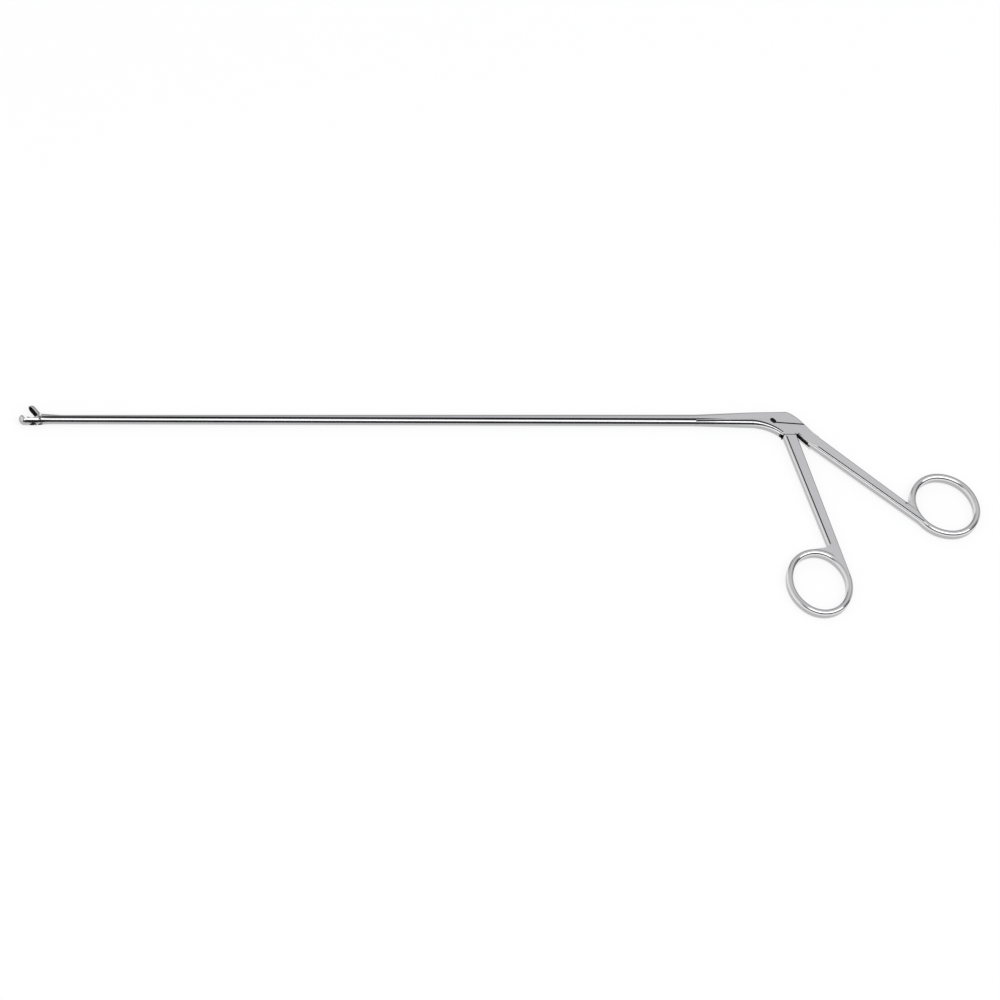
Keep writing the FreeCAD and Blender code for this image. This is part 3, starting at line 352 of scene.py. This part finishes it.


# %% [markdown]
# The head holds a slit under the slide's tail, which ends in a slanted window, and an open slot
# between its two cheeks for the tongue of the front handle. Shade is painted into all three. The
# window is a line with a radius round it, so its mask is the distance to the nearest point of that
# line.

# %% Painted shade in the openings of the head
WINDOW_LINE = ((-9.2, 4.1), (-8.38, 3.36))
WINDOW_REACH = 1.12
SLIT_RISE = 2.95
SLIT_START = 7.3
SLIT_LEAN = math.radians(4.2)
SLIT_ENDS = (-8.3, 5.5, 0.2, 0.3)
SLOT_HALF = 1.5
SLOT_ENDS = (-6.1, 7.2, 0.3, 0.2)
SLOT_HEIGHTS = (-7.6, 4.3, 0.2, 0.2)
SHOULDER_RISE = -3.15
SHOULDER_ENDS = (-4.9, 1.0, 0.2, 0.4)


def near_window(spot):
    """1 in the slanted window: closer to its centre line than its radius and a little more."""
    (ax, ay), (bx, by) = WINDOW_LINE
    run = math.hypot(bx - ax, by - ay)
    ux, uy = (bx - ax) / run, (by - ay) / run
    dx, dy = spot.x - ax, spot.y - ay
    along = (dx * ux + dy * uy).at_most(run).at_least(0.0)
    across = ((dx - along * ux) ** 2.0 + (dy - along * uy) ** 2.0) ** 0.5
    return across.under(WINDOW_REACH, 0.08)


def window_shade(spot):
    """Painted shade on the upright walls of the slanted window, and in the slit under the slide's
    tail.
    """
    slit_rise = SLIT_RISE - (spot.x + SLIT_START) * math.tan(SLIT_LEAN)
    slit = (spot.y - slit_rise + 0.15).size().under(0.3, 0.1) * spot.x.within(*SLIT_ENDS)
    return either(near_window(spot) * spot.up.size().under(0.4, 0.2), slit)


def slot_shade(spot):
    """Painted shade on everything between the two cheeks of the head."""
    return ((spot.z - MIDDLE).size().under(SLOT_HALF, 0.15) * spot.x.within(*SLOT_ENDS)
            * spot.y.within(*SLOT_HEIGHTS))


def shoulder_shade(spot):
    """Painted shade in the joint between the head and the front handle's shoulder."""
    return (spot.y - SHOULDER_RISE).size().under(0.14, 0.1) * spot.x.within(*SHOULDER_ENDS)


# %% [markdown]
# Each shank is a tapered bar with two flat faces and rounded sides. A thin dark line, a painted
# reflection, shows where a flat face turns into a side. The spot is first turned into the shank's own
# directions, along it and across it, and there the line is simply a half width that shrinks with the
# distance.

# %% Painted reflection lines along the shanks
SHANK_EDGE = 0.65
REAR_SHANK = {"start": (7.0, -3.95), "lean": 40.8, "top_half": 2.55, "end_half": 1.725,
              "length": 66.5, "lined": (6.0, 64.0)}
FRONT_SHANK = {"start": (-2.35, 0.0), "lean": 76.15, "top_half": 2.75, "end_half": 2.1,
               "length": 76.0, "lined": (3.6, 59.5)}
REAR_CROTCH = (52.7, 1.3)


def shank_place(spot, shank):
    """Distance along a shank's centre line and to its upper side, from where the line starts."""
    lean = math.radians(shank["lean"])
    dx, dy = spot.x - shank["start"][0], spot.y - shank["start"][1]
    return (dx * math.cos(lean) - dy * math.sin(lean), dx * math.sin(lean) + dy * math.cos(lean))


def shank_edge_reflections(spot, shank):
    """Painted dark reflections where the flat faces of a shank turn into its rounded sides, darker
    below.
    """
    along, side = shank_place(spot, shank)
    taper = (shank["end_half"] - shank["top_half"]) / shank["length"]
    flat_half = along * taper + (shank["top_half"] - SHANK_EDGE)
    lower = (side + flat_half).size().under(0.25, 0.12)
    upper = (side - flat_half - 0.3).size().under(0.1, 0.12) * 0.45
    lines = either(lower, upper) * spot.up.size().over(0.45, 0.3)
    return lines * along.within(*shank["lined"], 0.5, 1.0)


def rear_shank(spot):
    """Painted reflection lines of the rear shank, and painted shade in the crotch hollow by its ring.
    """
    along, side = shank_place(spot, REAR_SHANK)
    crotch = ((along - REAR_CROTCH[0]) ** 2.0 + (side - REAR_CROTCH[1]) ** 2.0) ** 0.5
    return either(shank_edge_reflections(spot, REAR_SHANK), crotch.under(0.5, 0.7) * 0.8)


def front_shank(spot):
    """Painted dark reflection lines of the front shank."""
    return shank_edge_reflections(spot, FRONT_SHANK)


# %% [markdown]
# Both jaws are cups: a half tube that ends in a quarter of a ball. Their insides get painted shade,
# and the same formula finds both. It is the distance to the tube's axis, and ahead of the ball's
# centre the distance to that centre. The moving cup stands open in the model, so a spot on it is first
# turned back about the jaw's pivot to where it lies when the cup is shut.

# %% Painted shade inside the cups
SHAFT_AXIS = 4.45
FIXED_BALL = -352.15
FIXED_INSIDE = 2.3
FIXED_CUP_BACK = (-343.5, 0.3)
JAW_PIVOT = (-345.9, 3.47)
JAW_SWING = math.radians(55.0)
MOVING_BALL = -6.05
MOVING_AXIS = 1.15
MOVING_INSIDE = 1.78
MOVING_CUP_BACK = (-2.6, 0.2)


def cup_inside(along, across, deep, ball, radius):
    """1 nearer to a cup's axis, or ahead of its ball's centre to that centre, than the radius."""
    ahead = (along - ball).at_most(0.0)
    return ((ahead ** 2.0 + across ** 2.0 + deep ** 2.0) ** 0.5).under(radius, 0.1)


def fixed_cup_shade(spot):
    """Painted shade inside the fixed cup."""
    inside = cup_inside(spot.x, spot.y - SHAFT_AXIS, spot.z - MIDDLE, FIXED_BALL, FIXED_INSIDE)
    return inside * spot.x.under(*FIXED_CUP_BACK)


def moving_cup_shade(spot):
    """Painted shade inside the moving cup."""
    dx, dy = spot.x - JAW_PIVOT[0], spot.y - JAW_PIVOT[1]
    shut_x = dx * math.cos(JAW_SWING) - dy * math.sin(JAW_SWING)
    shut_y = dx * math.sin(JAW_SWING) + dy * math.cos(JAW_SWING)
    inside = cup_inside(shut_x, shut_y - MOVING_AXIS, spot.z - MIDDLE, MOVING_BALL, MOVING_INSIDE)
    return inside * shut_x.under(*MOVING_CUP_BACK)


# %% [markdown]
# All of it is bare stainless steel, in three finishes. The shaft and the jaws are ground lengthwise:
# their grain is noise that is stretched along X. The handles are polished forgings, on which a slow
# wave from hand grinding lies under very fine scratches, and where the sides turn into the flat faces
# a paler rim is painted on as a highlight. The studs and the jaws' pins are turned, with an even fine
# grain. One function makes all three from a table of numbers, so that they stay one family.

# %% Steel finishes
MILLIMETRES = 1000.0
RIM_HEIGHT = 1.7
PAINTED_HIGHLIGHT_COLOUR = (0.95, 0.95, 0.955, 1)
SHADOW_COLOUR = (0.012, 0.012, 0.013, 1)
SHADOW_ROUGH = 0.4
CLOUD_SCALE = 60.0
WAVE_SCALE = 130.0
GROUND = {"colour": (0.48, 0.48, 0.485), "rough": 0.12, "grain_scale": (60.0, 6000.0, 6000.0),
          "grain_depth": 0.000004, "wave_depth": 0.000003, "highlight_share": 0.0}
POLISHED = {"colour": (0.48, 0.48, 0.485), "rough": 0.12, "grain_scale": (700.0, 700.0, 700.0),
            "grain_depth": 0.00001, "wave_depth": 0.00010, "highlight_share": 0.8}
TURNED = {"colour": (0.46, 0.46, 0.465), "rough": 0.22, "grain_scale": (3000.0, 3000.0, 3000.0),
          "grain_depth": 0.00001, "wave_depth": 0.00001, "highlight_share": 0.0}


def shade(colour, share):
    """A colour made paler or darker by one share."""
    return tuple(part * share for part in colour) + (1,)


def steel(name, kind, *marks):
    """Metal with a stretched grain, a slow wave, painted shade in dark places and painted highlights
    along its sides.
    """
    finish = bpy.data.materials.new(name)
    bench = Bench(finish)
    facing = bench.node("ShaderNodeTexCoord", {}, {}, "Normal")
    place = facing.beside("Object")
    x = bench.node("ShaderNodeSeparateXYZ", {}, {"Vector": place})
    up = bench.node("ShaderNodeSeparateXYZ", {}, {"Vector": facing}, "Z")
    spot = Spot(x * MILLIMETRES, x.beside("Y") * MILLIMETRES, x.beside("Z") * MILLIMETRES, up)
    stretched = bench.node("ShaderNodeVectorMath", {"operation": "MULTIPLY"},
                           {0: place, 1: kind["grain_scale"]})
    grain = bench.noise(stretched, 1.0, 6.0, 0.6)
    cloud = bench.noise(place, CLOUD_SCALE, 3.0)
    wave = bench.noise(place, WAVE_SCALE, 2.0)
    # Painted shade and painted dark reflections: the darkest of the masks given to this finish.
    dark = 0.0
    for mark in marks:
        dark = either(mark(spot), dark)
    tint = bench.mix(cloud, shade(kind["colour"], 0.92), shade(kind["colour"], 1.05))
    tint = bench.mix(grain * 0.35, tint, shade(kind["colour"], 0.85))
    # Painted highlight: a paler band on the rounded sides next to the flat faces.
    rim_highlight = ((spot.z - MIDDLE).size() - RIM_HEIGHT).size().under(0.42, 0.15) * up.size().under(0.45, 0.3)
    tint = bench.mix(rim_highlight * kind["highlight_share"], tint, PAINTED_HIGHLIGHT_COLOUR)
    # The painted shade turns the colour towards near black.
    tint = bench.mix(dark, tint, SHADOW_COLOUR)
    level = kind["rough"] + (grain - 0.5) * 0.10 + (cloud - 0.5) * 0.06 + dark * SHADOW_ROUGH
    slow = bench.node("ShaderNodeBump", {},
                      {"Strength": 1.0, "Distance": kind["wave_depth"], "Height": wave})
    bump = bench.node("ShaderNodeBump", {},
                      {"Strength": 0.25, "Distance": kind["grain_depth"], "Height": grain,
                       "Normal": slow})
    surface = bench.node("ShaderNodeBsdfPrincipled", {},
                         {"Base Color": tint, "Metallic": 1.0, "Roughness": level.clamped(),
                          "Normal": bump})
    bench.node("ShaderNodeOutputMaterial", {}, {"Surface": surface})
    return finish


# %% [markdown]
# Each piece gets the finish of its making, with only the painted shade and reflection lines that lie
# on it, so that no node tree works out a mask that can't show. The pins in the head are filed and
# polished with it, and so they share the handles' finish.

# %% A finish for each piece
polished_pin = steel("polished_pin", POLISHED)
turned = steel("turned_steel", TURNED)
finish_of = {
    "lower_shaft": steel("ground_shaft", GROUND, split_shade, braze_line, fixed_cup_shade),
    "sliding_shaft": steel("ground_slide", GROUND, split_shade, window_shade, slot_shade),
    "upper_jaw": steel("ground_jaw", GROUND, moving_cup_shade),
    "rear_handle": steel("polished_head", POLISHED, face_edge_reflection, braze_line, window_shade, slot_shade,
                         shoulder_shade, rear_shank),
    "front_handle": steel("polished_handle", POLISHED, shoulder_shade, front_shank),
    "handle_pivot_pin": polished_pin,
    "handle_drive_pin": polished_pin,
    "jaw_pivot_pin": turned,
    "jaw_drive_pin": turned,
    "front_guide_stud": turned,
    "rear_guide_stud": turned,
}
for name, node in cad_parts.items():
    for slot in node.material_slots:
        slot.material = finish_of[name]
    print(name, "gets", finish_of[name].name, "on", len(node.data.polygons), "faces")
